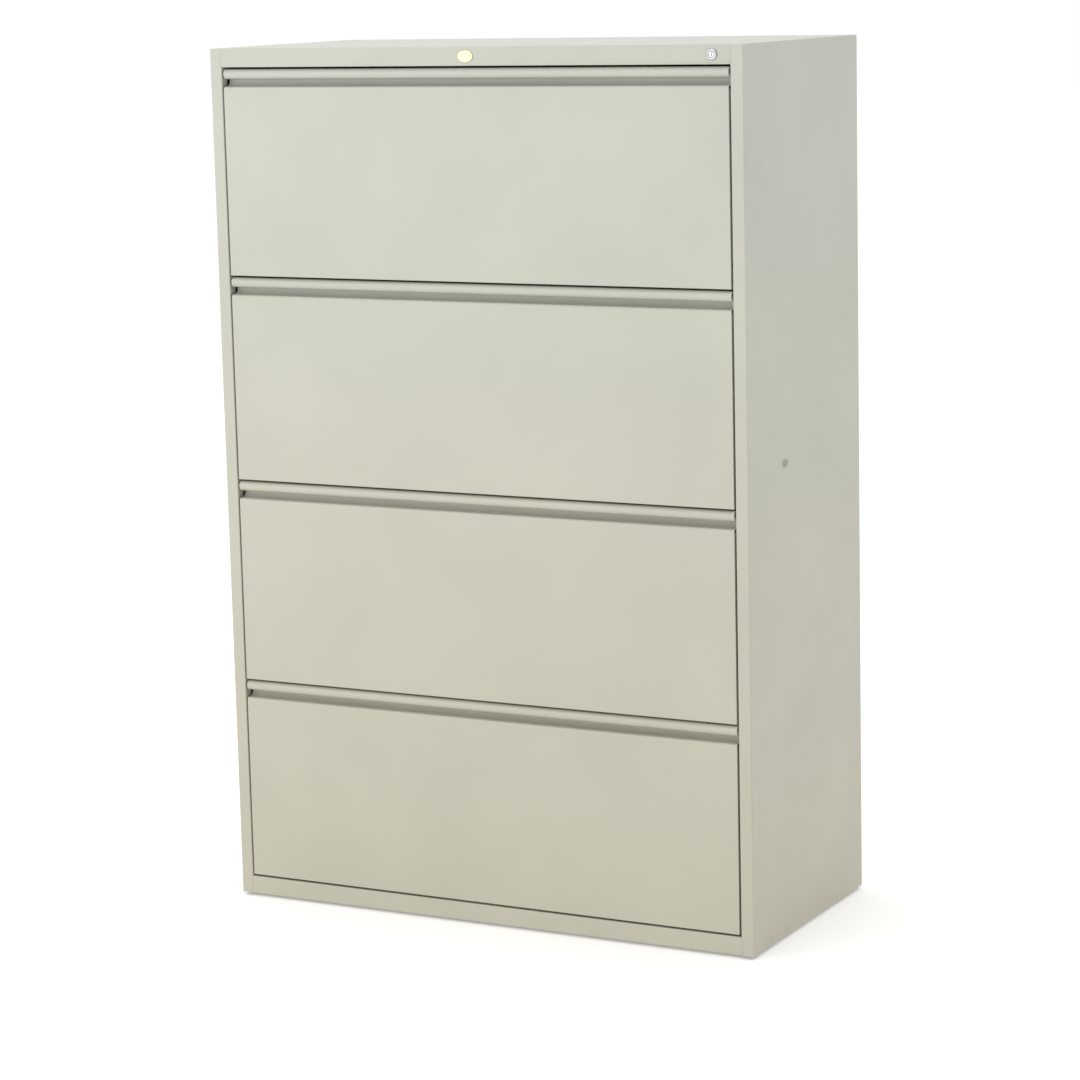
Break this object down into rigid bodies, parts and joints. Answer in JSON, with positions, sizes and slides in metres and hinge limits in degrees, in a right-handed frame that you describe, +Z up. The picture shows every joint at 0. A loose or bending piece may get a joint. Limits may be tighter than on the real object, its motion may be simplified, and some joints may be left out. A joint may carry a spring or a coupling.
{
  "type": "lateral filing cabinet",
  "caption": "Tall freestanding steel filing cabinet with stacked full-width drawers on telescopic slides, lip pulls and a keyed gang lock.",
  "frame": {"origin": "centre of the footprint, on the floor", "axes": "+Z up, -Y towards the user (drawers open along -Y), +X to the right of someone who faces the drawers, the side the lock is on"},
  "size_m": [0.9144, 0.4348, 1.3716],
  "materials": {
    "painted_steel": "warm light grey baked enamel, fine texture, satin",
    "zinc_plate": "bright zinc plate",
    "chrome": "polished nickel chrome",
    "pale_brass": "polished pale brass, blank",
    "weight_steel": "plain hot-rolled steel plate",
    "glide_plastic": "black nylon foot on a threaded stem"
  },
  "bodies": {
    "case": {"badge_plate": "pale_brass", "base_pan": "painted_steel", "base_rail": "painted_steel", "case_back": "painted_steel", "case_left_side": "painted_steel", "case_right_side": "painted_steel", "case_top": "painted_steel", "counterweight": "weight_steel", "drawer_1_left_cabinet_slide": "zinc_plate", "drawer_1_right_cabinet_slide": "zinc_plate", "drawer_2_left_cabinet_slide": "zinc_plate", "drawer_2_right_cabinet_slide": "zinc_plate", "drawer_3_left_cabinet_slide": "zinc_plate", "drawer_3_right_cabinet_slide": "zinc_plate", "drawer_4_left_cabinet_slide": "zinc_plate", "drawer_4_right_cabinet_slide": "zinc_plate", "front_left_glide": "glide_plastic", "front_left_upright": "zinc_plate", "front_right_glide": "glide_plastic", "front_right_upright": "zinc_plate", "header_rail": "painted_steel", "lock_cylinder": "chrome", "lock_nut": "zinc_plate", "rear_left_glide": "glide_plastic", "rear_left_upright": "zinc_plate", "rear_right_glide": "glide_plastic", "rear_right_upright": "zinc_plate"},
    "drawer_1": {"drawer_1_body": "painted_steel", "drawer_1_front": "painted_steel", "drawer_1_hang_rail": "zinc_plate", "drawer_1_left_drawer_slide": "zinc_plate", "drawer_1_right_drawer_slide": "zinc_plate"},
    "slides_1": {"drawer_1_left_middle_slide": "zinc_plate", "drawer_1_right_middle_slide": "zinc_plate"},
    "drawer_2": {"drawer_2_body": "painted_steel", "drawer_2_front": "painted_steel", "drawer_2_hang_rail": "zinc_plate", "drawer_2_left_drawer_slide": "zinc_plate", "drawer_2_right_drawer_slide": "zinc_plate"},
    "slides_2": {"drawer_2_left_middle_slide": "zinc_plate", "drawer_2_right_middle_slide": "zinc_plate"},
    "drawer_3": {"drawer_3_body": "painted_steel", "drawer_3_front": "painted_steel", "drawer_3_hang_rail": "zinc_plate", "drawer_3_left_drawer_slide": "zinc_plate", "drawer_3_right_drawer_slide": "zinc_plate"},
    "slides_3": {"drawer_3_left_middle_slide": "zinc_plate", "drawer_3_right_middle_slide": "zinc_plate"},
    "drawer_4": {"drawer_4_body": "painted_steel", "drawer_4_front": "painted_steel", "drawer_4_hang_rail": "zinc_plate", "drawer_4_left_drawer_slide": "zinc_plate", "drawer_4_right_drawer_slide": "zinc_plate"},
    "slides_4": {"drawer_4_left_middle_slide": "zinc_plate", "drawer_4_right_middle_slide": "zinc_plate"},
    "lock_plug": {"lock_cam": "zinc_plate", "lock_plug": "chrome"},
    "lock_bar": {"lock_bar": "zinc_plate"}
  },
  "joints": [
    {"name": "drawer_1_slide", "type": "slide", "parent": "case", "child": "drawer_1", "axis": [0, -1, 0], "range_m": [0, 0.375]},
    {"name": "slides_1_slide", "type": "slide", "parent": "case", "child": "slides_1", "axis": [0, -1, 0], "range_m": [0, 0.1875]},
    {"name": "drawer_2_slide", "type": "slide", "parent": "case", "child": "drawer_2", "axis": [0, -1, 0], "range_m": [0, 0.375]},
    {"name": "slides_2_slide", "type": "slide", "parent": "case", "child": "slides_2", "axis": [0, -1, 0], "range_m": [0, 0.1875]},
    {"name": "drawer_3_slide", "type": "slide", "parent": "case", "child": "drawer_3", "axis": [0, -1, 0], "range_m": [0, 0.375]},
    {"name": "slides_3_slide", "type": "slide", "parent": "case", "child": "slides_3", "axis": [0, -1, 0], "range_m": [0, 0.1875]},
    {"name": "drawer_4_slide", "type": "slide", "parent": "case", "child": "drawer_4", "axis": [0, -1, 0], "range_m": [0, 0.375]},
    {"name": "slides_4_slide", "type": "slide", "parent": "case", "child": "slides_4", "axis": [0, -1, 0], "range_m": [0, 0.1875]},
    {"name": "lock_turn", "type": "hinge", "parent": "case", "child": "lock_plug", "pos_m": [0.4082, -0.2144, 1.3571], "axis": [0, 1, 0], "range_deg": [0, 90]},
    {"name": "lock_bar_drop", "type": "slide", "parent": "case", "child": "lock_bar", "axis": [0, 0, -1], "range_m": [0, 0.008]}
  ],
  "couplings": [
    {"joint": "slides_1_slide", "follows": "drawer_1_slide", "ratio": 0.5},
    {"joint": "slides_2_slide", "follows": "drawer_2_slide", "ratio": 0.5},
    {"joint": "slides_3_slide", "follows": "drawer_3_slide", "ratio": 0.5},
    {"joint": "slides_4_slide", "follows": "drawer_4_slide", "ratio": 0.5},
    {"joint": "lock_turn", "follows": "lock_bar_drop", "rad_per_m": 196.35}
  ]
}
